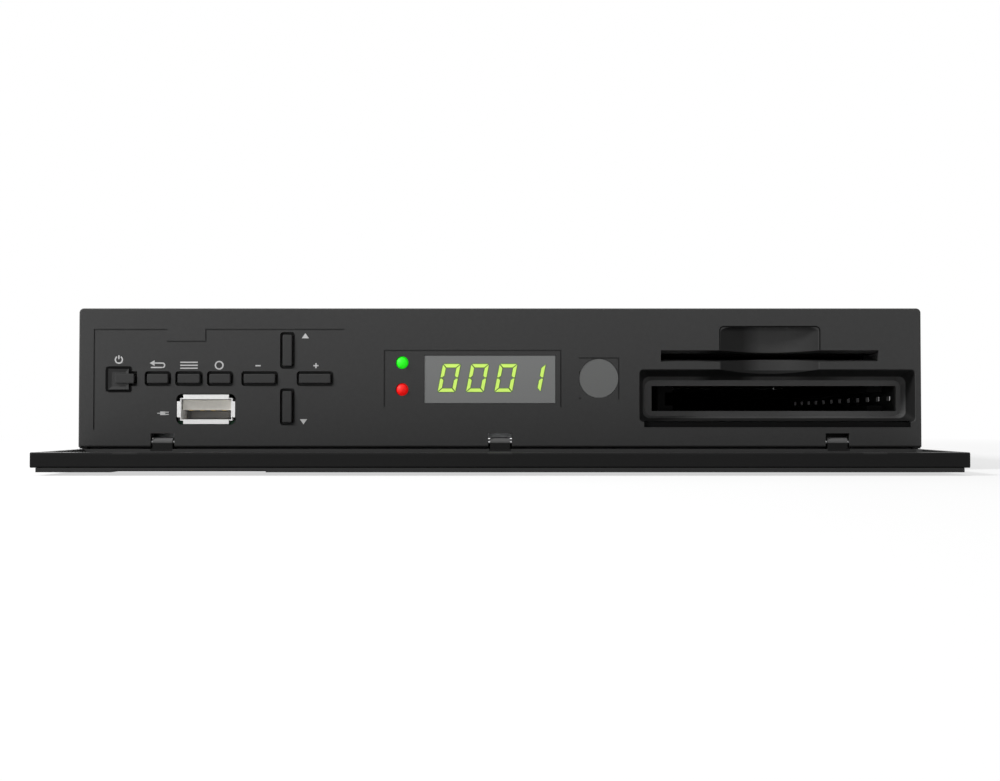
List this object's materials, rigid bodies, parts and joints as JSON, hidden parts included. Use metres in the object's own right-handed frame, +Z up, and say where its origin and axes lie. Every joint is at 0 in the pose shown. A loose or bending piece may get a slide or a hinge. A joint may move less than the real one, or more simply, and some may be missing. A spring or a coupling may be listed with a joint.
{
  "type": "satellite tv receiver",
  "caption": "Low black receiver box with a drop-down front flap, front keys, a digit display, a card slot and a module bay.",
  "frame": {"origin": "middle of the footprint with the flap open, on the surface that the feet stand on", "axes": "+Z up, front towards -Y, +X to the right seen from the front"},
  "size_m": [0.2128, 0.2028, 0.0408],
  "materials": {
    "front_plastic": "matt",
    "flap_plastic": "satin",
    "key_plastic": "satin",
    "switch_plastic": "matt",
    "pale_plastic": "matt",
    "smoked_window": "satin",
    "display_face": "matt",
    "green_lens": "glossy",
    "red_lens": "glossy",
    "board": "satin",
    "chip": "matt",
    "rubber": "matt",
    "steel": "satin",
    "black_steel": "satin",
    "bright_metal": "polished",
    "galvanised": "satin",
    "black_metal": "matt",
    "brass": "satin",
    "sink": "satin",
    "can": "satin"
  },
  "bodies": {
    "housing": {"front_bezel": "front_plastic", "hinge_pins": "steel", "tact_switches": "switch_plastic", "key_board": "board", "key_board_screws": "steel", "display_window": "smoked_window", "display_module": "display_face", "remote_window": "smoked_window", "remote_receiver": "switch_plastic", "green_lamp": "green_lens", "red_lamp": "red_lens", "usb_shell": "bright_metal", "usb_tongue": "pale_plastic", "rubber_feet": "rubber", "chassis_tray": "galvanised", "top_cover": "black_metal", "cover_screws": "black_steel", "main_board": "board", "standoffs": "brass", "board_screws": "steel", "main_chip": "chip", "heat_sink": "sink", "memory_chips": "chip", "capacitors": "can", "power_coils": "chip", "tuner_can": "bright_metal", "aerial_sockets": "bright_metal", "aerial_insulators": "pale_plastic", "hdmi_port": "bright_metal", "lan_port": "bright_metal", "optical_port": "switch_plastic", "sound_jack": "switch_plastic", "power_inlet": "switch_plastic", "module_cage": "switch_plastic", "module_connector": "switch_plastic", "card_reader": "switch_plastic", "reader_ribbon": "pale_plastic", "ribbon_socket": "pale_plastic", "board_header": "switch_plastic"},
    "flap": {"flap_panel": "flap_plastic", "flap_plate": "flap_plastic"},
    "power_key_body": {"power_key": "key_plastic"},
    "exit_key_body": {"exit_key": "key_plastic"},
    "menu_key_body": {"menu_key": "key_plastic"},
    "ok_key_body": {"ok_key": "key_plastic"},
    "volume_down_key_body": {"volume_down_key": "key_plastic"},
    "volume_up_key_body": {"volume_up_key": "key_plastic"},
    "channel_up_key_body": {"channel_up_key": "key_plastic"},
    "channel_down_key_body": {"channel_down_key": "key_plastic"}
  },
  "joints": [
    {"name": "flap_hinge", "type": "hinge", "parent": "housing", "child": "flap", "pos_m": [0, -0.0678, 0.007], "axis": [-1, 0, 0], "range_deg": [0, 90]},
    {"name": "power_key_press", "type": "slide", "parent": "housing", "child": "power_key_body", "axis": [0, 1, 0], "range_m": [0, 0.0004], "stiffness_N_per_m": 400, "springref_m": -0.001},
    {"name": "exit_key_press", "type": "slide", "parent": "housing", "child": "exit_key_body", "axis": [0, 1, 0], "range_m": [0, 0.0004], "stiffness_N_per_m": 400, "springref_m": -0.001},
    {"name": "menu_key_press", "type": "slide", "parent": "housing", "child": "menu_key_body", "axis": [0, 1, 0], "range_m": [0, 0.0004], "stiffness_N_per_m": 400, "springref_m": -0.001},
    {"name": "ok_key_press", "type": "slide", "parent": "housing", "child": "ok_key_body", "axis": [0, 1, 0], "range_m": [0, 0.0004], "stiffness_N_per_m": 400, "springref_m": -0.001},
    {"name": "volume_down_key_press", "type": "slide", "parent": "housing", "child": "volume_down_key_body", "axis": [0, 1, 0], "range_m": [0, 0.0004], "stiffness_N_per_m": 400, "springref_m": -0.001},
    {"name": "volume_up_key_press", "type": "slide", "parent": "housing", "child": "volume_up_key_body", "axis": [0, 1, 0], "range_m": [0, 0.0004], "stiffness_N_per_m": 400, "springref_m": -0.001},
    {"name": "channel_up_key_press", "type": "slide", "parent": "housing", "child": "channel_up_key_body", "axis": [0, 1, 0], "range_m": [0, 0.0004], "stiffness_N_per_m": 400, "springref_m": -0.001},
    {"name": "channel_down_key_press", "type": "slide", "parent": "housing", "child": "channel_down_key_body", "axis": [0, 1, 0], "range_m": [0, 0.0004], "stiffness_N_per_m": 400, "springref_m": -0.001}
  ]
}
